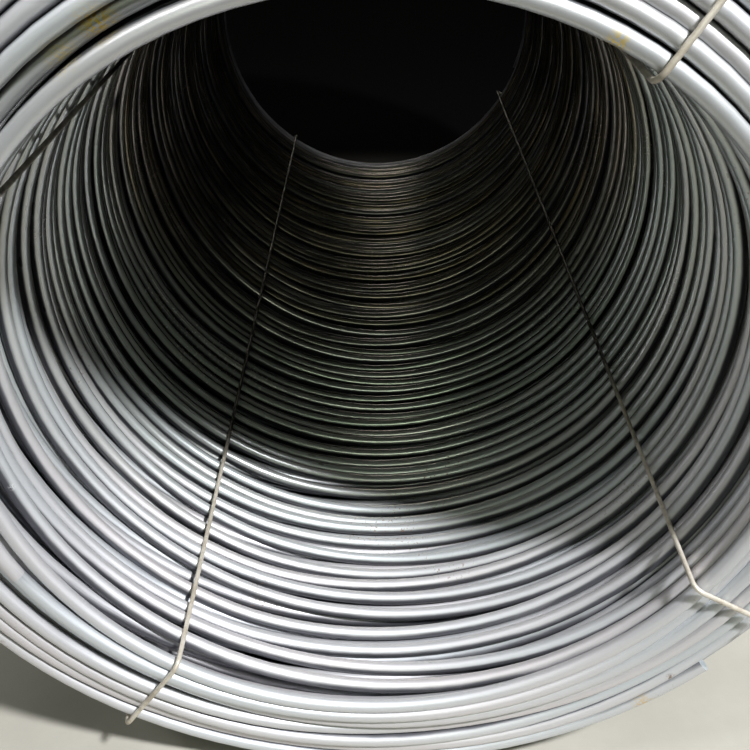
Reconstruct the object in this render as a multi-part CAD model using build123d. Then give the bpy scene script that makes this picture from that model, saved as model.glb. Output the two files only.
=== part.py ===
from build123d import *
from math import radians, tan
import os

# A coil of hot rolled steel wire rod that lies on its side, held by four tie wires.
# Lengths are in millimetres and angles in degrees.
# +Z is up, the bore runs along Y, and the mouth that faces the viewer is at -Y.
# The origin is on the floor, under the middle of the coil.

# Driving dimensions of the coil
bore_diameter = 850
rod_diameter = 18
turns_through_wall = 7
turn_gap = 1
coil_length = 2000

# How far each end turn lies behind the end plane, from the bore outwards.
# The turns of a coil are laid loosely, so no two neighbours end at the same place.
front_setbacks = (2, 0, 5, 1, 7, 3, 6)
rear_setbacks = (4, 0, 6, 1, 3, 8, 2)

# Driving dimensions of the tie wires
tie_diameter = 6
seat_gap = 0.6
knot_behind_front = 400
knot_length = 96
knot_twist = 540
knot_waist = 3.2

# Where each tie sits round the bore, counted from +X towards +Z as the viewer sees it
tie_angles = {
    "tie_wire_upper_right": 58,
    "tie_wire_upper_left": 145,
    "tie_wire_lower_left": 235,
    "tie_wire_lower_right": 330,
}

# Sizes that follow from the driving dimensions
bore_radius = bore_diameter / 2
rod_radius = rod_diameter / 2
turn_spacing = rod_diameter + turn_gap
outer_radius = bore_radius + turns_through_wall * turn_spacing - turn_gap
tie_radius = tie_diameter / 2
tie_offset = tie_radius + seat_gap
tie_bend = tie_offset + rod_radius

# Three sides of a hexagon stand round each end turn: a flat crest and two flanks.
# A tie wire has eight sides.
flank_slope = tan(radians(60))
crest_half = rod_radius / flank_slope
tie_sides = 8


def flank_drop(reach):
    """How far a flank has fallen below its crest, at reach from the middle of its turn."""
    return (reach - crest_half) * flank_slope


def end_outline(side, setbacks):
    """The corners of one end from the bore outwards, with a crest for each turn.

    side is -1 at the front and 1 at the rear. The groove between two turns is as deep
    as the turn that lies further back needs it.
    """
    crests = [coil_length / 2 - setbacks[turn % len(setbacks)] for turn in range(turns_through_wall)]
    corners = [(bore_radius, side * (crests[0] - flank_drop(rod_radius)))]
    for turn, crest in enumerate(crests):
        middle = bore_radius + rod_radius + turn * turn_spacing
        corners.append((middle - crest_half, side * crest))
        corners.append((middle + crest_half, side * crest))
        if turn + 1 < turns_through_wall:
            groove = min(crest, crests[turn + 1]) - flank_drop(turn_spacing / 2)
            corners.append((middle + turn_spacing / 2, side * groove))
    corners.append((outer_radius, side * (crests[-1] - flank_drop(rod_radius))))
    return corners


def rod_coil():
    """The wall of the coil, turned round the bore, with the turns showing on both ends."""
    front = end_outline(-1, front_setbacks)
    rear = end_outline(1, rear_setbacks)
    wall = make_face(Polyline(*front, *reversed(rear), close=True))
    return revolve(wall, Axis.Y)


def knot(start, radius):
    """The two ends of a tie, twisted round each other along the outside of the coil.

    The section is both ends side by side, pressed together at a narrow waist.
    """
    half_waist = knot_waist / 2
    right = [(tie_radius, tie_radius), (tie_diameter, 0), (tie_radius, -tie_radius)]
    left = [(-tie_radius, -tie_radius), (-tie_diameter, 0), (-tie_radius, tie_radius)]
    outline = Polyline((0, half_waist), *right, (0, -half_waist), *left, close=True)
    centre = Vector(radius + tie_radius, start, 0)
    facing = Plane(origin=centre, x_dir=(1, 0, 0), z_dir=(0, 1, 0))
    pair = (facing * make_face(outline)).face()
    return Solid.extrude_linear_with_rotation(pair, centre, Vector(0, knot_length, 0), knot_twist)


def tie_wire(angle):
    """One tie: out of its knot, over the rear, through the bore, over the front and back."""
    inside = bore_radius - tie_offset
    outside = outer_radius + tie_offset
    end = coil_length / 2 + tie_offset
    knot_start = knot_behind_front - coil_length / 2
    route = FilletPolyline(
        (outside, knot_start + knot_length),
        (outside, end),
        (inside, end),
        (inside, -end),
        (outside, -end),
        (outside, knot_start),
        radius=tie_bend,
    )
    section = Plane(origin=route @ 0, z_dir=route % 0) * RegularPolygon(tie_radius, tie_sides)
    wire = sweep(section, path=route)
    return Rot(0, -angle, 0) * (wire + knot(knot_start, outside))


# The coil and its ties are made round the bore's axis, then lifted to stand on the floor
lift = Pos(0, 0, outer_radius)
nodes = {"rod_coil": lift * rod_coil()}
for name, angle in tie_angles.items():
    nodes[name] = lift * tie_wire(angle)

os.makedirs("parts", exist_ok=True)
for name, shape in nodes.items():
    export_step(shape, f"parts/{name}.step")
    print(name, "solids", len(shape.solids()), "volume", round(shape.volume))
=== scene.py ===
# %% [markdown]
# A coil of wire rod, turn by turn.
# The coil is a single length of hot rolled steel rod, laid in about six hundred turns, with four tie
# wires round its wall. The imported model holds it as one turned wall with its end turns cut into
# both ends. This script dresses that wall with the rod itself, so that each turn is a round bar that
# lies on the one before it. The frame gives the sizes, and nothing in it is moved.

# %% Load the frame
import bpy
import numpy as np
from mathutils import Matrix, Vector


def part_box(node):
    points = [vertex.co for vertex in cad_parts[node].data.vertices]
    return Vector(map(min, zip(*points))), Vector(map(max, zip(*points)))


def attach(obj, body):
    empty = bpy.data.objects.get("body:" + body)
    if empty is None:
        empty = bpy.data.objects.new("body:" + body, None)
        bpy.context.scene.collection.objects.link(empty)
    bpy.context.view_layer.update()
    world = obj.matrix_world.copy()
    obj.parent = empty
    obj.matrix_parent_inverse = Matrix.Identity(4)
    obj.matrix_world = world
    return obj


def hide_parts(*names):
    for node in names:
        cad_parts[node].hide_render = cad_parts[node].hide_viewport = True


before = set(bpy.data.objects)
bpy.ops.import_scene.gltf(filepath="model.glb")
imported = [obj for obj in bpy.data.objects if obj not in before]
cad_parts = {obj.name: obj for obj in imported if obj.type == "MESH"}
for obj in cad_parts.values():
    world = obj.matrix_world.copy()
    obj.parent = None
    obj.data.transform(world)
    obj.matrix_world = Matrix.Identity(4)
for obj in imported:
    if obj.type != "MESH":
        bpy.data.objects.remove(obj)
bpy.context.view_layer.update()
print("nodes in the frame:", sorted(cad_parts))

# %% [markdown]
# Before any shape, the sizes. The wall of the coil gives its outside, its length and the height of its
# axis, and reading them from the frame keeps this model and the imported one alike. A box doesn't tell how
# thick the rod is or how far apart its turns lie across the wall, so both are written here, in metres.

# %% Sizes of the coil
wall_low, wall_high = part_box("rod_coil")
outer_radius = (wall_high.x - wall_low.x) / 2
half_length = (wall_high.y - wall_low.y) / 2
axis_height = (wall_high.z + wall_low.z) / 2
rod_diameter = 0.018
rod_radius = rod_diameter / 2
layer_spacing = 0.019
layer_count = 7
bore_radius = outer_radius - (layer_count - 1) * layer_spacing - rod_diameter
print("bore radius", round(bore_radius, 4), "outside", round(outer_radius, 4))

# %% [markdown]
# The camera comes first, because the picture decides what deserves detail. It stands in front of the
# mouth and a little above the coil, and looks down the bore, so the near end turns fill the frame and
# the turns inside run away into the dark. The field is as wide as a 43 mm lens gives on a full frame.

# %% Camera
camera_height = 1.112
camera_distance = 0.727
camera_pitch = np.radians(33.2)
camera_lens = 43.2
film_width = 36
nearest_seen = 0.01


def place_camera():
    """A level camera in front of the mouth, turned down by the pitch."""
    data = bpy.data.cameras.new("photo_camera")
    data.lens = camera_lens
    data.sensor_width = film_width
    data.clip_start = nearest_seen
    camera = bpy.data.objects.new("photo_camera", data)
    camera.location = (0, -half_length - camera_distance, camera_height)
    camera.rotation_euler = (np.pi / 2 - camera_pitch, 0, 0)
    bpy.context.scene.collection.objects.link(camera)
    bpy.context.scene.camera = camera


place_camera()
print("camera stands", camera_distance, "m in front of the mouth")

# %% [markdown]
# A tube is the one shape that this object needs: a ring of points carried along a path. At every point
# of the path two directions stand square to it, and the ring is cosine times one plus sine times the
# other. It could be a curve with a round bevel, but a mesh from arrays also keeps the length along
# the rod in its UV map, and the finish needs that to run its streaks along the bar.

# %% Tubes along a path


def unit(vectors):
    """Each row divided by its own length."""
    return vectors / np.linalg.norm(vectors, axis=-1, keepdims=True)


def distance_along(path):
    """The running sum of the steps between the points of a path, from zero."""
    steps = np.linalg.norm(np.diff(path, axis=0), axis=1)
    return np.concatenate([[0.0], np.cumsum(steps)])


def tube_points(path, lean, radius, sides):
    """Ring points: path + radius * (cos(a) * across + sin(a) * beside) for angles a round the tube.

    across is the lean direction with its part along the path taken away, and beside is square to both.
    """
    along = unit(np.gradient(path, axis=0))
    across = unit(lean - np.sum(lean * along, axis=1, keepdims=True) * along)
    beside = np.cross(along, across)
    angle = np.linspace(0, 2 * np.pi, sides, endpoint=False)
    ring = np.cos(angle)[None, :, None] * across[:, None] + np.sin(angle)[None, :, None] * beside[:, None]
    return path[:, None] + radius * ring


def tube_faces(rings, sides):
    """Quads between neighbouring rings, each listed so that it faces outwards."""
    ring, side = np.meshgrid(np.arange(rings - 1), np.arange(sides), indexing="ij")
    beyond = (side + 1) % sides
    here, there = ring * sides, (ring + 1) * sides
    corners = [here + side, here + beyond, there + beyond, there + side]
    return np.stack(corners, axis=-1).reshape(-1, 4)


# %% [markdown]
# One mesh often holds several tubes, such as the first turns of every layer. So a small recipe
# collects tubes, with their faces numbered on, and writes them into Blender in one go. Each tube is
# closed by a flat face at either end, as a cut bar is.

# %% One mesh from many tubes


def tube_parts(path, lean, radius, sides, start):
    """The points, faces and UV corners of one closed tube, whose length is counted from start.

    A UV corner holds metres along the rod and the share of the way round it, which passes one at the seam.
    """
    rings = len(path)
    points = tube_points(path, lean, radius, sides).reshape(-1, 3)
    walls = tube_faces(rings, sides)
    caps = np.arange(sides)[::-1], (rings - 1) * sides + np.arange(sides)
    length = start + distance_along(path)
    ring = walls // sides
    turn = (walls % sides) / sides
    turn[:, 1:3] += np.where(turn[:, 1:3] < turn[:, :1], 1.0, 0.0)
    wall_uv = np.stack([length[ring], turn], axis=-1).reshape(-1, 2)
    cap_uv = [np.stack([np.full(sides, length[end]), np.arange(sides) / sides], axis=-1) for end in (0, -1)]
    return points, walls, caps, np.concatenate([wall_uv, *cap_uv])


def sharpen_rims(mesh, corners, sizes, on_cap):
    """Marks every edge whose two points both lie on a cap, so that the round shading stops at the cut."""
    rim = np.zeros(len(mesh.vertices), bool)
    rim[corners[np.repeat(on_cap == 1, sizes)]] = True
    pairs = np.empty(len(mesh.edges) * 2, np.int32)
    mesh.edges.foreach_get("vertices", pairs)
    sharp = mesh.attributes.new("sharp_edge", "BOOLEAN", "EDGE")
    sharp.data.foreach_set("value", rim[pairs].reshape(-1, 2).all(axis=1))


def mesh_from_arrays(name, points, corners, sizes):
    """A mesh of points and of the corners of all faces in a row, with the number of corners of each face."""
    mesh = bpy.data.meshes.new(name)
    mesh.vertices.add(len(points))
    mesh.vertices.foreach_set("co", points.ravel())
    mesh.loops.add(len(corners))
    mesh.loops.foreach_set("vertex_index", corners.astype(np.int32))
    mesh.polygons.add(len(sizes))
    starts = np.concatenate([[0], np.cumsum(sizes)[:-1]])
    mesh.polygons.foreach_set("loop_start", starts.astype(np.int32))
    mesh.polygons.foreach_set("loop_total", sizes.astype(np.int32))
    mesh.update(calc_edges=True)
    return mesh


def mesh_of_tubes(name, tubes):
    """A mesh object with every tube of a list of (path, lean, radius, sides, start, cut ends).

    The cut ends are a pair of 0 or 1, for the first and the last face: 1 is a cut that can be seen, and 0 is
    a joint where the next tube goes on.
    """
    points, corners, sizes, uvs, on_cap, is_cut = [], [], [], [], [], []
    offset = 0
    for *tube, cut_ends in tubes:
        tube_point, walls, caps, uv = tube_parts(*tube)
        corners += [walls.ravel() + offset, caps[0] + offset, caps[1] + offset]
        sizes.append(np.concatenate([np.full(len(walls), 4), [len(caps[0])] * 2]))
        on_cap.append(np.concatenate([np.zeros(len(walls), int), [1, 1]]))
        is_cut.append(np.concatenate([np.zeros(len(walls), int), cut_ends]))
        points.append(tube_point)
        uvs.append(uv)
        offset += len(tube_point)
    points, corners, sizes, uvs = (np.concatenate(part) for part in (points, corners, sizes, uvs))
    on_cap, is_cut = np.concatenate(on_cap), np.concatenate(is_cut)
    mesh = mesh_from_arrays(name, points, corners, sizes)
    mesh.polygons.foreach_set("use_smooth", on_cap == 0)
    mesh.polygons.foreach_set("material_index", is_cut.astype(np.int32))
    sharpen_rims(mesh, corners, sizes, on_cap)
    mesh.uv_layers.new(name="along_rod").data.foreach_set("uv", uvs.ravel())
    piece = bpy.data.objects.new(name, mesh)
    bpy.context.scene.collection.objects.link(piece)
    print(name, "triangles", int(np.sum(sizes - 2)))
    return piece


# %% [markdown]
# The rod is stiff, and it is laid turn upon turn. Where it happens to lie close, it touches the turn
# before it, and where it swings away, a wedge of dark shows between the two. So a layer isn't a plain
# screw: the place of each point is the place one turn earlier, plus a diameter, plus a gap that
# drifts smoothly along the rod. The gap comes from a few slow waves whose periods don't fit a turn.

# %% How a layer of turns lies
samples_per_turn = 96
crossover = 0.28
closest_gap = 0.0006
quiet_turns = 0.6
rounding_slack = 1e-6


def slow_waves(turn, rng, count=7, slowest=0.13, fastest=1.35):
    """A smooth random line, about one high: a sum of sines of the turn count, at random rates and starts."""
    rates = rng.uniform(slowest, fastest, count)
    starts = rng.uniform(0, 2 * np.pi, count)
    return np.sin(2 * np.pi * turn[..., None] * rates + starts).sum(-1) / np.sqrt(count / 2)


def ease(share):
    """The smooth step 3s^2 - 2s^3, flat before 0 and after 1."""
    share = np.clip(share, 0, 1)
    return share * share * (3 - 2 * share)


def drifting_gap(turn, turns, spare, restless, seed):
    """The gap after each point: spare, plus how far a slow line moves in one turn, never below zero.

    The soft limit is half of (wish + the root of wish squared plus the closest gap squared).
    """
    later = slow_waves(turn + 1, np.random.default_rng(seed))
    now = slow_waves(turn, np.random.default_rng(seed))
    wish = spare + restless * (later - now)
    gap = 0.5 * (wish + np.sqrt(wish * wish + closest_gap**2))
    gap = gap * ease(turn / quiet_turns) * ease((turns - 1 - turn) / quiet_turns)
    return np.where(turn > turns - 1, 0, gap)


def end_dips(angle, dips):
    """How far an end turn sags behind its place: smooth bumps of (depth, centre in degrees, sharpness)."""
    depth = np.zeros_like(angle)
    for height, centre, sharpness in dips:
        depth += height * np.exp(sharpness * (np.cos(2 * np.pi * (angle - centre / 360)) - 1))
    return depth


def lay_turns(turns, start_angle, near, far, restless, seed):
    """The place along the bore of each sample of a layer of so many turns, from near to far.

    near and far are pairs of (place, dips). Turn by turn a place is the one a turn earlier, plus the
    rod's diameter, plus the gap. The gaps of each column, which is one angle round the coil, are scaled
    by one number, so that the layer ends where it should.
    """
    whole = int(turns + rounding_slack)
    count = whole + 1
    column = np.arange(samples_per_turn) / samples_per_turn
    row = np.arange(count)[:, None]
    turn = row + column[None, :]
    gap = drifting_gap(turn, turns, (far[0] - near[0]) / turns - rod_diameter, restless, seed)
    steps = np.where(column <= turns - whole + rounding_slack, whole, whole - 1)
    last_turn = steps + column
    start = near[0] + end_dips(start_angle - column, near[1])
    start += rod_diameter * ease((column - 1 + crossover) / crossover)
    finish = far[0] - end_dips(start_angle - last_turn, far[1])
    finish -= rod_diameter * (1 - ease((last_turn - turns + 1) / crossover))
    scale = (finish - start - steps * rod_diameter) / gap.sum(axis=0)
    before = np.concatenate([np.zeros((1, samples_per_turn)), np.cumsum(gap, axis=0)[:-1]])
    place = start + row * rod_diameter + scale * before
    samples = int(round(turns * samples_per_turn)) + 1
    return turn.ravel()[:samples], place.ravel()[:samples]


# %% [markdown]
# The whole rod is one path. It starts with the free end on the outside, near the floor at the
# front, screws to the rear, steps in by one layer, comes back, and so on through seven layers until it
# ends in the bore at the rear. Where it steps from a layer to the next it crosses the end
# turns on a slant, and here and there an end turn sags back between its neighbours. Both are what makes
# the end of a real coil uneven. A separate ring for each turn would lie far too neatly.

# %% The layers of the rod
# Angles are in degrees, from +X towards +Z, and the layers are counted from the bore. Each end is how far its
# turn lies behind the end plane, with its dips.
free_end_angle = 318.75
step_angles = (206.25, 75, 198.75, 22.5, 18.75, 288.75)
step_span = 0.125
last_part_turn = 0.5
first_seed = 40
turns_in_layer = (68, 80, 90, 90, 90, 90, 83)
restlessness = (0.0105, 0.0060, 0.002, 0.002, 0.002, 0.003, 0.0058)
front_ends = (
    (0.001, ((0.004, 300, 3),)),
    (0.001, ((0.015, 122, 5), (0.009, 340, 9))),
    (0.002, ((0.007, 235, 6), (0.004, 60, 9))),
    (0.001, ((0.005, 100, 8), (0.009, 280, 8))),
    (0.002, ((0.008, 142, 7), (0.006, 310, 9))),
    (0.000, ((0.005, 75, 9), (0.008, 255, 6))),
    (0.003, ((0.005, 160, 6), (0.006, 20, 9))),
)
rear_ends = (
    (0.002, ((0.006, 60, 5),)),
    (0.000, ((0.014, 250, 6),)),
    (0.003, ((0.007, 130, 6),)),
    (0.001, ((0.009, 20, 8),)),
    (0.002, ((0.011, 310, 7),)),
    (0.000, ((0.007, 100, 8),)),
    (0.002, ((0.008, 200, 5),)),
)


def layer_radius(layer):
    """The distance from the axis to the middle of the rod, in a layer counted from the bore."""
    return bore_radius + rod_radius + layer * layer_spacing


def lay_rod():
    """Every layer from the outside in, with the angle, radius and place along the bore of each sample."""
    layers = []
    angle = free_end_angle / 360
    for layer in reversed(range(layer_count)):
        at_front = layer % 2 == 0
        last_angle = step_angles[layer - 1] / 360 if layer else angle - last_part_turn
        turns = turns_in_layer[layer] + round((angle - last_angle) % 1 * samples_per_turn) / samples_per_turn
        near, far = (front_ends, rear_ends) if at_front else (rear_ends, front_ends)
        near_end = (rod_radius + near[layer][0], near[layer][1])
        far_end = (2 * half_length - rod_radius - far[layer][0], far[layer][1])
        turn, place = lay_turns(turns, angle, near_end, far_end, restlessness[layer], first_seed + layer)
        layers.append(
            {
                "layer": layer,
                "angle": angle - turn,
                "radius": np.full(len(turn), layer_radius(layer)),
                "along": place - half_length if at_front else half_length - place,
            }
        )
        angle = angle - turns - step_span
    return layers


layers = lay_rod()
print("turns in each layer:", [round(float(layer["angle"][0] - layer["angle"][-1]), 2) for layer in layers])

# %% [markdown]
# A turn rests on the turns of the layer beside it. Between two of them it sinks in, and over one of
# them it rides up by a whole diameter. Seen from above, with the distance between the two middles never
# less than a diameter, the height is the root of diameter squared minus the sideways distance
# squared. So the second layer follows the first one, both in the bore and on the outside, and shows
# in each gap as a sliver that comes and goes.

# %% Turns that rest on each other
stiffness_samples = 9
deepest_sink = 0.0150
sink_drift = 0.0025
level_at_end = 0.02
level_fades = 0.05
wander_depth = 0.007
wander_seed = 7


def columns_of(values, key):
    """A table of the samples of a layer, with a row for each angle round the coil, and each sample's row.

    Where the table has no sample it holds not a number.
    """
    index = np.round(values["angle"] * samples_per_turn).astype(int)
    first = index[0]
    turn = (first - index) // samples_per_turn
    table = np.full((samples_per_turn, turn.max() + 1), np.nan)
    table[index % samples_per_turn, turn] = values[key]
    return table, index % samples_per_turn


def smooth_line(line, width):
    """The running mean of a line over so many samples, with its two ends held."""
    padded = np.pad(line, width, mode="edge")
    kernel = np.hanning(2 * width + 1)
    return np.convolve(padded, kernel / kernel.sum(), mode="valid")


def wander(values, rng):
    """How far a layer swings off its place: the depth times half of one plus the tanh of a slow line."""
    return wander_depth * (0.5 + 0.5 * np.tanh(slow_waves(values["angle"], rng)))


def rest_on(values, below, outward):
    """Sets the radius of a layer by what lies below it, outward being 1 in the bore and -1 on the outside.

    The end turns don't sink in: there the layer eases back to its own level.
    """
    below_along, _ = columns_of(below, "along")
    below_radius, _ = columns_of(below, "radius")
    _, column = columns_of(values, "along")
    sideways = values["along"][:, None] - below_along[column]
    lift = np.sqrt(np.maximum(rod_diameter**2 - sideways**2, 0))
    height = outward * (below_radius[column] - below["radius"].mean()) + lift
    height = np.where(np.abs(sideways) < rod_diameter, height, 0)
    drift = sink_drift * slow_waves(values["angle"], np.random.default_rng(values["layer"]))
    height = np.maximum(height.max(axis=1), deepest_sink + drift)
    height = smooth_line(height, stiffness_samples)
    ends = half_length - rod_radius - np.abs(values["along"])
    on_end = 1 - ease((ends - level_at_end) / level_fades)
    level = layer_spacing * on_end + height * (1 - on_end)
    values["radius"] = below["radius"].mean() + outward * level


by_layer = {values["layer"]: values for values in layers}
bore, second = by_layer[0], by_layer[1]
outer, sixth = by_layer[layer_count - 1], by_layer[layer_count - 2]
rng = np.random.default_rng(wander_seed)
bore["radius"] = bore["radius"] + wander(bore, rng)
outer["radius"] = outer["radius"] - wander(outer, rng)
rest_on(second, bore, 1)
rest_on(sixth, outer, -1)
nearest, farthest = float(second["radius"].min()), float(second["radius"].max())
print("second layer lies", round(nearest, 4), "to", round(farthest, 4), "m from the axis")

# %% [markdown]
# To get from one layer to the next the rod leaves its end turn and slants across to its neighbour. The
# crossing could be drawn as a curve by hand. Here it is an eased line from the last sample of one layer to
# the first of the next, in radius and in place along the bore, so it leaves and meets them without a kink.

# %% Steps from layer to layer


def point_at(angle, radius, along):
    """Points on the path: round the axis by the angle in turns, at the radius, and along the bore."""
    turned = 2 * np.pi * angle
    return np.stack([radius * np.cos(turned), along, axis_height + radius * np.sin(turned)], axis=-1)


def outward_at(angle):
    """The direction away from the axis at each angle in turns."""
    turned = 2 * np.pi * angle
    return np.stack([np.cos(turned), np.zeros_like(turned), np.sin(turned)], axis=-1)


def step_between(upper, lower):
    """The slanting crossing from the end of one layer to the start of the next, eased in radius and place."""
    share = np.linspace(0, 1, round(step_span * samples_per_turn) + 1)
    mix = ease(share)
    values = {"angle": upper["angle"][-1] - step_span * share}
    for key in ("radius", "along"):
        values[key] = upper[key][-1] + (lower[key][0] - upper[key][-1]) * mix
    return values


# %% [markdown]
# A picture only needs its detail where the eye gets to. Near the mouth a highlight runs along each turn,
# and on a tube of few sides it would zigzag, so there the rod has twenty sides. The rest of the bore and the
# outside get twelve. What lies between can only be glimpsed through the gaps, so there the rod takes
# every second point and fewer sides. One tube from end to end would be simpler, and far too heavy.

# %% The rod as pieces
mouth_sides = 20
plain_sides = 12
glimpsed_sides = 8
hidden_sides = 5
end_turns = 2.5
mouth_turns = 24
mouth_second_turns = 26
front_end = ("front_end_turns", mouth_sides)
rear_end = ("rear_end_turns", plain_sides)


def stretch(values, chosen, sides, start, cut_ends=(0, 0)):
    """One tube of the rod: the chosen samples of a layer, with its own number of sides."""
    angle = values["angle"][chosen]
    path = point_at(angle, values["radius"][chosen], values["along"][chosen])
    return path, outward_at(angle), rod_radius, sides, start, cut_ends


def share_out(values):
    """The stretches of one layer, each as (piece, samples, sides, cut ends).

    Where a stretch takes every second sample, its ends are an even number of samples apart.
    """
    layer, last = values["layer"], len(values["angle"]) - 1
    if layer == layer_count - 1:
        return [("outer_turns", slice(None), plain_sides, (1, 0))]
    if layer == 0:
        split = mouth_turns * samples_per_turn
        near = ("mouth_turns", slice(0, split + 1), mouth_sides, (0, 0))
        return [near, ("bore_turns", slice(split, None), plain_sides, (0, 1))]
    first = int(end_turns * samples_per_turn)
    final = last - first - (last - first * 2) % 2
    near, far = (front_end, rear_end) if layer % 2 == 0 else (rear_end, front_end)
    parts = [(near[0], slice(0, first + 1), near[1], (0, 0)), (far[0], slice(final, None), far[1], (0, 0))]
    if layer == 1:
        split = final - mouth_second_turns * samples_per_turn
        parts.append(("mouth_second_turns", slice(split, final + 1), plain_sides, (0, 0)))
        parts.append(("layer_2_turns", slice(first, split + 1, 2), glimpsed_sides, (0, 0)))
    else:
        sides = glimpsed_sides if layer == layer_count - 2 else hidden_sides
        parts.append((f"layer_{layer + 1}_turns", slice(first, final + 1, 2), sides, (0, 0)))
    return parts


def rod_pieces():
    """The tubes of every piece, by the name of the piece."""
    tubes = {}
    start = 0.0
    for order, values in enumerate(layers):
        layer = values["layer"]
        turn_length = 2 * np.pi * layer_radius(layer)
        for name, chosen, sides, cut_ends in share_out(values):
            before = start + (chosen.start or 0) / samples_per_turn * turn_length
            tubes.setdefault(name, []).append(stretch(values, chosen, sides, before, cut_ends))
        if layer:
            name, sides = rear_end if layer % 2 == 0 else front_end
            crossing = step_between(values, layers[order + 1])
            tubes.setdefault(name, []).append(stretch(crossing, slice(None), sides, start))
        start += len(values["angle"]) / samples_per_turn * turn_length
    print("rod in the coil:", round(start), "m")
    return tubes


rod = [mesh_of_tubes(name, tubes) for name, tubes in rod_pieces().items()]

# %% [markdown]
# Handling rubs the mill scale off wherever the rod meets the world: on the crests that face into the
# bore, on those that face outwards, and on the ends. The sides that lie against other turns, and the second
# layer where it shows in the gaps, are kept darker: partly scale, and partly painted shade in the crevices.
# That contrast draws every turn as a bright line. Painting it by hand would take days, so it is worked out
# from the way that each point of the rod faces, and stored as an attribute that the finish can read.
# Deeper in and higher up the bright fades, which is painted shade, and the line grows thin and turns
# towards the mouth, where the light comes from, which is a painted highlight.

# %% Where the rod is worn bright, with painted shade and a painted highlight
open_depth = 0.0165
open_edge = 0.003
end_depth = 0.030
second_layer_share = 0.75
outside_share = 0.6
# The fade deep in the bore, by its reach, its least and the count of height, is painted shade; the thin
# line's reach, tilt and least make a painted highlight.
painted_shade_reach = (0.35, 1.1)
share_left_in_painted_shade = 0.30
painted_shade_by_height = 0.5
painted_highlight_reach = (0.18, 0.55)
painted_highlight_tilt = np.radians(42)
painted_highlight_least = 0.72
least_facing = 0.1
full_facing = 0.9


def facing_share(facing, least=least_facing):
    """How bright a point is kept by how far it faces open space, eased from the least that counts to the
    full: rubbing, and painted shade where it turns away.
    """
    return ease((facing - least) / (full_facing - least))


def bore_rubbing_and_painted_light(points, normals, distance, away):
    """How bright points of the bore are kept, by rubbing and by painted light: its first layer fully, and its
    second less.

    It fades with the metres behind the mouth, which is painted shade. The thin line is a facing turned
    towards the mouth by the tilt, with a higher least, which is a painted highlight, and both grow with how
    deep in the shade a
    point is: metres behind the mouth plus its share of height.
    """
    behind_mouth = points[:, 1] + half_length
    fade = ease((behind_mouth - painted_shade_reach[0]) / (painted_shade_reach[1] - painted_shade_reach[0]))
    first_layer = ease((bore_radius + open_depth - distance) / open_edge)
    share = (second_layer_share + (1 - second_layer_share) * first_layer) * (1 - (1 - share_left_in_painted_shade) * fade)
    share = share * (distance < (bore_radius + outer_radius) / 2)
    painted_shade_depth = behind_mouth + painted_shade_by_height * (points[:, 2] - axis_height + bore_radius)
    thin = ease((painted_shade_depth - painted_highlight_reach[0]) / (painted_highlight_reach[1] - painted_highlight_reach[0]))
    into_bore = -away * np.cos(thin * painted_highlight_tilt) - normals[:, 1] * np.sin(thin * painted_highlight_tilt)
    return share * facing_share(into_bore, least_facing + (painted_highlight_least - least_facing) * thin)


def points_and_normals(mesh):
    """The points of a mesh and the way that each of them faces, as two arrays."""
    points = np.empty(len(mesh.vertices) * 3, np.float32)
    mesh.vertices.foreach_get("co", points)
    normals = np.empty(len(points), np.float32)
    mesh.vertex_normals.foreach_get("vector", normals)
    return points.reshape(-1, 3), normals.reshape(-1, 3)


def rub_and_paint_light(piece):
    """Stores on each point how bright it is kept, from 0 to 1, as the most that any open side gives: rubbing,
    with painted shade and a painted highlight in it.

    Each open side gives how far the point faces it, as long as the point lies in the turns next to it.
    """
    points, normals = points_and_normals(piece.data)
    outward = points * [1, 0, 1] - [0, 0, axis_height]
    distance = np.linalg.norm(outward, axis=1)
    away = np.sum(normals * outward, axis=1) / distance
    endways = normals[:, 1] * np.sign(points[:, 1])
    depth = half_length - np.abs(points[:, 1])
    outside = outside_share * ease((distance - outer_radius + open_depth) / open_edge)
    at_end = ease((end_depth - depth) / end_depth * 2)
    in_bore = bore_rubbing_and_painted_light(points, normals, distance, away)
    sides = [in_bore, facing_share(away) * outside, facing_share(endways) * at_end]
    rubbed_and_painted_light = piece.data.attributes.new("rubbed_and_painted_light", "FLOAT", "POINT")
    rubbed_and_painted_light.data.foreach_set("value", np.max(sides, axis=0))


for piece in rod:
    rub_and_paint_light(piece)
print("rubbed pieces:", len(rod))

# %% [markdown]
# The ties are soft annealed wire, nearly as thick as a pencil. Each one goes through the bore, over both
# ends and back along the outside, where its two ends are twisted together. Its path is drawn flat, in
# the plane that holds the axis, as straight runs with round corners, and then turned to its place. So
# one drawing serves all four ties, and the knot is two more tubes that wind round each other.

# %% Tie wires
tie_radius = 0.003
seat_gap = 0.0006
knot_behind_front = 0.400
knot_length = 0.096
knot_turns = 3.0
knot_points = 90
tie_sides = 12
bend_points = 10
bore_step = 0.015
fewest_points = 6
long_run_points = 60
short_run_points = 30
tie_angles = {
    "tie_wire_upper_right": 58,
    "tie_wire_upper_left": 145,
    "tie_wire_lower_left": 235,
    "tie_wire_lower_right": 330,
}


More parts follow.
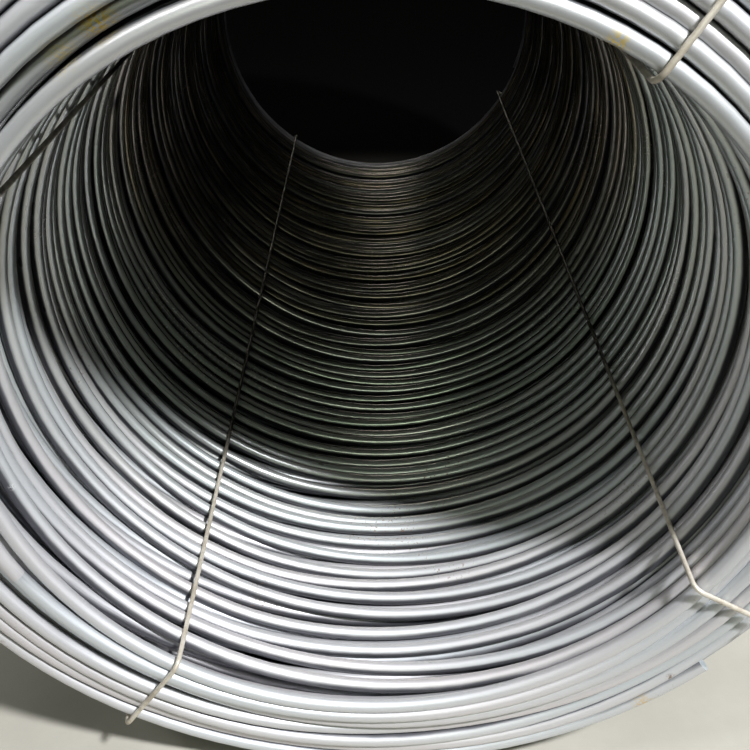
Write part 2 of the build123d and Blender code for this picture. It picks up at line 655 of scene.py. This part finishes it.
def tie_outline():
    """Points (distance from the axis, place along it) of one tie, from its knot round and back again."""
    offset = tie_radius + seat_gap
    bend = offset + rod_radius
    inside = bore_radius - offset
    outside = outer_radius + offset
    end = half_length + offset
    knot_start = knot_behind_front - half_length
    quarter = np.linspace(0, np.pi / 2, bend_points)
    far, near = end - bend, bend - end
    centres = ((outside - bend, far), (inside + bend, far), (inside + bend, near), (outside - bend, near))
    corners = []
    for quarters, (middle, place) in enumerate(centres):
        turned = quarters * np.pi / 2 + quarter
        corners.append(np.stack([middle + bend * np.cos(turned), place + bend * np.sin(turned)], axis=-1))
    runs = [np.linspace((outside, knot_start + knot_length), corners[0][0], long_run_points)[:-1]]
    for here, there in zip(corners, corners[1:]):
        count = max(fewest_points, int(np.linalg.norm(there[0] - here[-1]) / bore_step))
        runs += [here, np.linspace(here[-1], there[0], count)[1:-1]]
    runs += [corners[-1], np.linspace(corners[-1][-1], (outside, knot_start), short_run_points)[1:]]
    return np.concatenate(runs), outside, knot_start


def turn_about_axis(points, angle):
    """Flat points (distance, place, sideways) turned about the bore's axis to an angle in degrees."""
    turned = np.radians(angle)
    distance, place, sideways = points.T
    x = distance * np.cos(turned) - sideways * np.sin(turned)
    z = distance * np.sin(turned) + sideways * np.cos(turned)
    return np.stack([x, place, axis_height + z], axis=-1)


def tie_wire(name, angle):
    """One tie: the loop round the wall, and the two ends twisted round each other in its knot."""
    outline, outside, knot_start = tie_outline()
    loop = np.column_stack([outline, np.zeros(len(outline))])
    lean = np.tile(turn_about_axis(np.array([[0, 0, 1.0]]), angle) - [0, 0, axis_height], (len(loop), 1))
    tubes = [(turn_about_axis(loop, angle), lean, tie_radius, tie_sides, 0.0, (0, 0))]
    share = np.linspace(0, 1, knot_points)
    for half in (0, np.pi):
        twist = 2 * np.pi * knot_turns * share + half
        distance = outside + tie_radius + tie_radius * np.cos(twist)
        strand = np.stack([distance, knot_start + knot_length * share, tie_radius * np.sin(twist)], axis=-1)
        path = turn_about_axis(strand, angle)
        tubes.append((path, lean[: len(path)], tie_radius, tie_sides, 0.0, (1, 1)))
    return mesh_of_tubes(name + "_wire", tubes)


ties = {name: tie_wire(name, angle) for name, angle in tie_angles.items()}

# %% [markdown]
# A finish is a small web of nodes. Written out link by link it is hard to read, so one helper adds a
# node with its settings and fills its sockets, from numbers or from other nodes. What several finishes
# need, such as a noise, a blend or a distance, gets a short name of its own.

# %% A helper for finishes


class Finish:
    """A material with a principled shader, and a short way to add nodes to it."""

    def __init__(self, name):
        self.material = bpy.data.materials.new(name)
        self.material.use_nodes = True
        self.tree = self.material.node_tree
        self.shader = self.tree.nodes["Principled BSDF"]

    def fill(self, node, sockets):
        """Fills sockets by name or number: a socket is linked, and anything else is its plain value."""
        for key, value in sockets.items():
            if isinstance(value, bpy.types.NodeSocket):
                self.tree.links.new(value, node.inputs[key])
            else:
                node.inputs[key].default_value = value

    def add(self, kind, sockets, **settings):
        """A new node of a kind, with its settings and its filled sockets."""
        node = self.tree.nodes.new("ShaderNode" + kind)
        for key, value in settings.items():
            setattr(node, key, value)
        self.fill(node, sockets)
        return node

    def place(self):
        """The place of each point in its object, in metres."""
        return self.add("TexCoord", {}).outputs["Object"]

    def noise(self, vector, scale, detail=3.0, roughness=0.55):
        """The value of a noise texture at a vector."""
        sockets = {"Vector": vector, "Scale": scale, "Detail": detail, "Roughness": roughness}
        return self.add("TexNoise", sockets).outputs["Fac"]

    def span(self, value, low, high, to_low=0.0, to_high=1.0):
        """A value carried from one range to another, and held at both ends."""
        sockets = {"Value": value, "From Min": low, "From Max": high, "To Min": to_low, "To Max": to_high}
        return self.add("MapRange", sockets, interpolation_type="SMOOTHSTEP").outputs["Result"]

    def maths(self, operation, first, second=0.0):
        """The result of a sum, product or other operation on two values."""
        return self.add("Math", {0: first, 1: second}, operation=operation).outputs["Value"]

    def blend(self, share, first, second):
        """A colour between two others, by a share."""
        node = self.add("Mix", {"Factor": share}, data_type="RGBA")
        self.fill(node, {6: first, 7: second})
        return node.outputs[2]

    def stretched(self, vector, factors):
        """A vector with each of its parts multiplied."""
        return self.add("Mapping", {"Vector": vector, "Scale": factors}).outputs["Vector"]

    def distance(self, place, centre):
        """The distance of a place from a centre."""
        return self.add("VectorMath", {0: place, 1: centre}, operation="DISTANCE").outputs["Value"]

    def from_axis(self, place):
        """The distance of a place from the axis of the bore."""
        return self.distance(self.stretched(place, (1.0, 0.0, 1.0)), (0, 0, axis_height))

    def along_bore(self, place):
        """How far along the bore a place lies, from the middle of the coil."""
        return self.add("SeparateXYZ", {"Vector": place}).outputs["Y"]

    def spot(self, place, centre, reach):
        """One at a centre, easing to zero at a reach from it."""
        return self.span(self.distance(place, centre), 0.0, reach, 1.0, 0.0)

    def bumped(self, height, strength, distance):
        """The way a surface faces once a height bends it, by a strength and over a distance in metres."""
        sockets = {"Height": height, "Strength": strength, "Distance": distance}
        return self.add("Bump", sockets).outputs["Normal"]

    def surface(self, colour, roughness, metallic, normal):
        """Fills the shader, and gives the finished material."""
        sockets = {"Base Color": colour, "Roughness": roughness, "Metallic": metallic, "Normal": normal}
        self.fill(self.shader, sockets)
        return self.material


# %% [markdown]
# Hot rolled rod leaves the mill in a skin of dark scale. Handling rubs it off the crests, which then show
# bare grey steel with faint streaks along the rod. So the colour is a mix of two steels by the attribute of
# rubbing and painted light, and the dark of the flanks is partly scale and partly painted shade. Deeper in
# the bore the flanks go nearly black, which is painted shade, and the crests turn olive and then brown,
# which is painted olive light and painted warm light, with some rust in the brown. How far this goes
# differs from turn to turn. The noises read the length along the rod from the UV map, so they stay on the
# bar whichever way it turns.

# %% The steel of the rod
# The dark of the flanks is partly scale and partly painted shade.
scale_and_painted_shade = (0.135, 0.137, 0.155, 1)
bare_cool = (0.62, 0.65, 0.675, 1)
bare_warm = (0.675, 0.65, 0.665, 1)
# Deeper in: a painted shade near black, painted olive light, and rust with painted warm light.
deep_painted_shade = (0.012, 0.012, 0.011, 1)
painted_olive_light = (0.42, 0.47, 0.41, 1)
rust_and_painted_warm_light = (0.56, 0.42, 0.24, 1)
deep_shade_reach = (0.14, 0.72)
warm_light_reach = (0.8, 1.15)
shaded_bore_edge = (0.03, 0.06)
rear_clear = (0.07, 0.02)
patch_stretch = (9.0, 3.0, 1.0)
streak_stretch = (2.5, 14.0, 1.0)
cast_stretch = (0.9, 0.0, 1.0)
turn_stretch = (0.42, 0.0, 1.0)
patch_wear = 0.14
streak_wear = 0.08
fully_bare = 0.85


def wear_and_painted_light_of(finish, along):
    """How bright the steel is: the attribute of rubbing with painted shade and highlight, broken up by
    patches and by streaks along the rod.
    """
    rubbed_and_painted_light = finish.add("Attribute", {}, attribute_name="rubbed_and_painted_light").outputs["Fac"]
    patches = finish.noise(finish.stretched(along, patch_stretch), 1.0, 4.0)
    streaks = finish.noise(finish.stretched(along, streak_stretch), 1.0, 3.0)
    worn_and_painted_light = finish.maths("ADD", rubbed_and_painted_light, finish.span(patches, 0.3, 0.7, -patch_wear, patch_wear))
    worn_and_painted_light = finish.maths("ADD", worn_and_painted_light, finish.span(streaks, 0.3, 0.7, -streak_wear, streak_wear))
    return finish.span(worn_and_painted_light, 0.0, fully_bare), streaks


def deep_painted_shade_share(finish, place):
    """How deep in the shade a point of the bore is: metres behind the mouth plus its share of height over the
    bottom.

    Gives that measure, and the share of painted shade and light that is eased from it and is zero outside the
    bore and at the rear end.
    """
    sockets = {0: place, 1: (0, 1, painted_shade_by_height)}
    measure = finish.add("VectorMath", sockets, operation="DOT_PRODUCT").outputs["Value"]
    measure = finish.maths("ADD", measure, half_length - painted_shade_by_height * (axis_height - bore_radius))
    edge = bore_radius + shaded_bore_edge[0], bore_radius + shaded_bore_edge[1]
    rear = half_length - rear_clear[0], half_length - rear_clear[1]
    inside = finish.span(finish.from_axis(place), *edge, 1.0, 0.0)
    inside = finish.maths("MULTIPLY", inside, finish.span(finish.along_bore(place), *rear, 1.0, 0.0))
    return measure, finish.maths("MULTIPLY", inside, finish.span(measure, *deep_shade_reach))


def steel_colour(finish, along, measure, worn_and_painted_light, deep):
    """Bare steel and scale near the mouth, and deeper in painted shade with painted olive and warm light on
    the crests, each mixed by the share of rubbing and painted light.
    """
    cast = finish.noise(finish.stretched(along, cast_stretch), 1.0, 2.0)
    bare = finish.blend(finish.span(cast, 0.38, 0.62), bare_cool, bare_warm)
    near = finish.blend(worn_and_painted_light, scale_and_painted_shade, bare)
    brown = finish.blend(finish.span(measure, *warm_light_reach), painted_olive_light, rust_and_painted_warm_light)
    deep_shade_and_light = finish.blend(worn_and_painted_light, deep_painted_shade, brown)
    by_turn = finish.noise(finish.stretched(along, turn_stretch), 1.0, 2.0)
    share = finish.maths("MULTIPLY", deep, finish.span(by_turn, 0.35, 0.62, 1.0, 0.40))
    return finish.blend(share, near, deep_shade_and_light)


# %% [markdown]
# On top of the steel come rust, paint and polish. Rust starts as specks that stand in groups, so the peaks of
# a fine noise are kept only inside the peaks of a coarse one. The yellow, brown and white marks are
# single touches of paint and rust, so each is a ball of colour with a flaked edge, placed on the crest
# that it marks. Deep in the bore the rod is smoother and has small glints, and rust makes it dull.

# %% Rust, marks and polish
rust_brown = (0.20, 0.11, 0.06, 1)
marks = (
    ((-0.219, -0.983, 0.958), 0.026, (0.80, 0.58, 0.12, 1)),
    ((-0.250, -0.985, 0.930), 0.024, (0.72, 0.62, 0.34, 1)),
    ((0.189, -0.997, 0.944), 0.015, (0.80, 0.60, 0.14, 1)),
    ((0.345, -0.990, 0.131), 0.022, (0.72, 0.46, 0.08, 1)),
    ((0.369, -0.994, 0.182), 0.008, rust_brown),
    ((-0.414, -0.938, 0.443), 0.006, (0.85, 0.86, 0.88, 1)),
)
speck_scale = 210.0
group_scale = 5.0
flake_scale = 330.0
fine_grain = 900.0
coarse_grain = 260.0
glint_stretch = (30.0, 5.0, 1.0)
streak_roughness = (0.46, 0.58)
deep_roughness = 0.48
glint_roughness = 0.12
rust_roughness = 0.3
bare_metallic = 0.6
rust_metallic = 0.05


def rust_of(finish, place):
    """Specks of rust: the peaks of a fine noise, kept only inside the peaks of a coarse one."""
    specks = finish.span(finish.noise(place, speck_scale, 3.0), 0.60, 0.68)
    where = finish.span(finish.noise(place, group_scale, 2.0), 0.58, 0.74, 0.0, 0.8)
    return finish.maths("MULTIPLY", specks, where)


def with_marks(finish, colour, place):
    """The colour with every mark on it: a spot at the mark's centre times the flakes of a fine noise."""
    flakes = finish.span(finish.noise(place, flake_scale, 3.0), 0.42, 0.56)
    for centre, reach, paint in marks:
        spot = finish.maths("MULTIPLY", finish.spot(place, centre, reach), flakes)
        colour = finish.blend(spot, colour, paint)
    return colour


def roughness_of(finish, along, streaks, deep, rust):
    """How rough the rod is: the streaks times the share for depth, less the glints, plus the rust."""
    by_depth = finish.span(deep, 0, 1, 1, deep_roughness)
    rough = finish.maths("MULTIPLY", finish.span(streaks, 0.25, 0.75, *streak_roughness), by_depth)
    glint = finish.span(finish.noise(finish.stretched(along, glint_stretch), 1.0, 1.0), 0.66, 0.74)
    glint = finish.maths("MULTIPLY", glint, deep)
    rough = finish.maths("SUBTRACT", rough, finish.maths("MULTIPLY", glint, glint_roughness))
    return finish.maths("ADD", rough, finish.maths("MULTIPLY", rust, rust_roughness))


def rod_finish():
    """The finish of the rod: its steel, its specks of rust, its marks, its polish and its grain."""
    finish = Finish("rod_steel")
    along = finish.add("UVMap", {}, uv_map="along_rod").outputs["UV"]
    place = finish.place()
    measure, deep = deep_painted_shade_share(finish, place)
    worn_and_painted_light, streaks = wear_and_painted_light_of(finish, along)
    rust = rust_of(finish, place)
    colour = finish.blend(rust, steel_colour(finish, along, measure, worn_and_painted_light, deep), rust_brown)
    colour = with_marks(finish, colour, place)
    rough = roughness_of(finish, along, streaks, deep, rust)
    metal = finish.span(rust, 0, 1, bare_metallic, rust_metallic)
    grain = finish.maths("ADD", finish.noise(place, fine_grain, 2.0), finish.noise(place, coarse_grain, 2.0))
    return finish.surface(colour, rough, metal, finish.bumped(grain, 0.12, 0.0005))


# %% [markdown]
# Where the rod was sheared off, its face is clean metal that nothing has dulled yet: a burnished half, where
# the blade slid past, and a grainy half, where the last of the section tore. A broad noise parts the two.
# The ties are annealed wire under a pale drawing coat. A little way into the bore, where the shade
# begins, the wire is painted nearly black, which is painted shade, so the pale colour fades with the
# distance behind the mouth, and only there.

# %% The cut faces and the wire
torn_steel = (0.45, 0.50, 0.54, 1)
sheared_steel = (0.66, 0.74, 0.79, 1)
wire_pale = (0.70, 0.65, 0.56, 1)
wire_dull = (0.46, 0.41, 0.33, 1)
wire_painted_shade = (0.020, 0.019, 0.017, 1)
torn_scale = 70.0
cut_grain = 1400.0
dull_scale = 35.0
wire_grain = 1200.0
cut_metallic = 0.6
wire_metallic = 0.4
wire_shade_reach = (0.34, 0.50)
wire_edge = (-0.001, 0.006)


def cut_finish():
    """Sheared steel: smooth and bright against grainy and grey, by a broad noise."""
    finish = Finish("cut_steel")
    place = finish.place()
    torn = finish.span(finish.noise(place, torn_scale, 3.0), 0.42, 0.58)
    colour = finish.blend(torn, sheared_steel, torn_steel)
    rough = finish.span(torn, 0, 1, 0.30, 0.55)
    grain = finish.noise(place, cut_grain, 2.0)
    return finish.surface(colour, rough, cut_metallic, finish.bumped(grain, 0.3, 0.0004))


def wire_finish():
    """Pale coated wire with duller stretches, painted black a little way into the bore, which is painted
    shade.
    """
    finish = Finish("wire_steel")
    place = finish.place()
    dull = finish.span(finish.noise(place, dull_scale, 4.0, 0.7), 0.40, 0.64)
    edge = bore_radius + wire_edge[0], bore_radius + wire_edge[1]
    # The span behind the mouth where the wire turns black is painted shade.
    bare = wire_shade_reach[0] - half_length, wire_shade_reach[1] - half_length
    inside = finish.span(finish.from_axis(place), *edge, 1.0, 0.0)
    black = finish.maths("MULTIPLY", finish.span(finish.along_bore(place), *bare), inside)
    colour = finish.blend(black, finish.blend(dull, wire_pale, wire_dull), wire_painted_shade)
    rough = finish.span(dull, 0, 1, 0.42, 0.62)
    grain = finish.noise(place, wire_grain, 2.0)
    return finish.surface(colour, rough, wire_metallic, finish.bumped(grain, 0.25, 0.0003))


rod_steel, cut_steel, wire_steel = rod_finish(), cut_finish(), wire_finish()
for piece in [*rod, *ties.values()]:
    own = rod_steel if piece in rod else wire_steel
    piece.data.materials.append(own)
    piece.data.materials.append(cut_steel)
print("finishes:", rod_steel.name, cut_steel.name, wire_steel.name)

# %% [markdown]
# Nothing on a coil moves, so the whole of it is one body, and every piece rides on it. The pieces of the
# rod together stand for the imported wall, and each wire stands for its own packed tie.

# %% Riding and replacing
for piece in rod:
    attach(piece, "root")
    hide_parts("rod_coil")
for name, piece in ties.items():
    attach(piece, "root")
    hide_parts(name)
print("pieces that ride on the coil:", len(rod) + len(ties))

# %% [markdown]
# The coil stands on a plain painted floor, a little uneven in its tone. One square is enough for it, because
# its finish carries all that there is to see. Far from the mouth the floor is painted nearly black, which is
# painted shade, like the falloff round a spotlight, so that the far end of the bore opens on the dark, as it
# does where a coil lies deep in a hall.

# %% The floor
pale_paint = (0.43, 0.415, 0.365, 1)
grey_paint = (0.385, 0.37, 0.325, 1)
# Nearly black far from the mouth: painted shade, the falloff round a spotlight.
painted_floor_shade = (0.003, 0.003, 0.003, 1)
floor_shade_centre = (0, -0.4, 0)
floor_shade_reach = (0.9, 1.9)
stain_scale = 3.0


def floor_finish():
    """Pale paint that varies in tone and sheen, with painted shade that turns it dark with the distance from
    the mouth.
    """
    finish = Finish("floor_paint")
    place = finish.place()
    stains = finish.noise(place, stain_scale, 5.0, 0.65)
    paint = finish.blend(finish.span(stains, 0.35, 0.65), pale_paint, grey_paint)
    far = finish.span(finish.distance(place, floor_shade_centre), *floor_shade_reach)
    rough = finish.span(stains, 0.35, 0.65, 0.84, 0.94)
    finish.fill(finish.shader, {"Specular IOR Level": 0.0})
    grain = finish.noise(place, 120.0)
    return finish.surface(finish.blend(far, paint, painted_floor_shade), rough, 0.0, finish.bumped(grain, 0.2, 0.001))


def floor_plane(reach=7.0):
    """A square floor under the coil."""
    mesh = bpy.data.meshes.new("floor")
    corners = [(-reach, -reach, 0), (reach, -reach, 0), (reach, reach, 0), (-reach, reach, 0)]
    mesh.from_pydata(corners, [], [(0, 1, 2, 3)])
    floor = bpy.data.objects.new("floor", mesh)
    bpy.context.scene.collection.objects.link(floor)
    mesh.materials.append(floor_finish())
    return floor


floor = floor_plane()
print("stage:", floor.name)

# %% [markdown]
# One lamp over the viewer's right shoulder throws a pool of light into the mouth. The edge of the pool is the
# shadow of the mouth's own rim, and the lamp is small, so that the edge is crisp. The other four are weak:
# they fill in the left side, the turns deeper in, the top and the rear. The world adds a trace from all
# round. Plain area lamps were chosen because their light softens with their size, as a studio lamp's does.

# %% The lamps
mouth = (0, -half_length, axis_height)
faint_sky = (0.9, 0.95, 1.0, 1)
sky_strength = 0.01


def lamp(name, place, target, size, power, colour=(1, 1, 1)):
    """A square area lamp at a place, aimed at a target."""
    data = bpy.data.lights.new(name, "AREA")
    data.size = size
    data.energy = power
    data.color = colour
    holder = bpy.data.objects.new(name, data)
    place, target = np.array(place), np.array(target)
    away = unit(place - target)
    holder.location = place
    pitch = np.arccos(away[2])
    heading = np.arctan2(away[0], -away[1])
    holder.rotation_euler = (pitch, 0, heading)
    bpy.context.scene.collection.objects.link(holder)


def dim_world():
    """A world that gives the same faint light from everywhere."""
    world = bpy.data.worlds.new("studio")
    world.use_nodes = True
    background = world.node_tree.nodes["Background"]
    background.inputs["Color"].default_value = faint_sky
    background.inputs["Strength"].default_value = sky_strength
    bpy.context.scene.world = world


lamp("key_lamp", (1.80, -2.60, 3.72), mouth, 0.32, 330, (0.97, 0.98, 1.0))
lamp("side_lamp", (-2.7, -2.2, 4.1), mouth, 0.6, 36)
lamp("front_lamp", (-0.45, -3.8, 1.9), mouth, 0.9, 13, (0.90, 1.0, 0.76))
lamp("top_lamp", (0, 0.6, 3.4), (0, 0, axis_height), 2.4, 44)
lamp("rear_lamp", (-0.25, 5.5, 2.3), (0, 0.5, 0.2), 0.8, 24, (1.0, 0.90, 0.74))
dim_world()
bpy.context.scene.view_settings.view_transform = "Standard"
print("lamps:", len(bpy.data.lights))
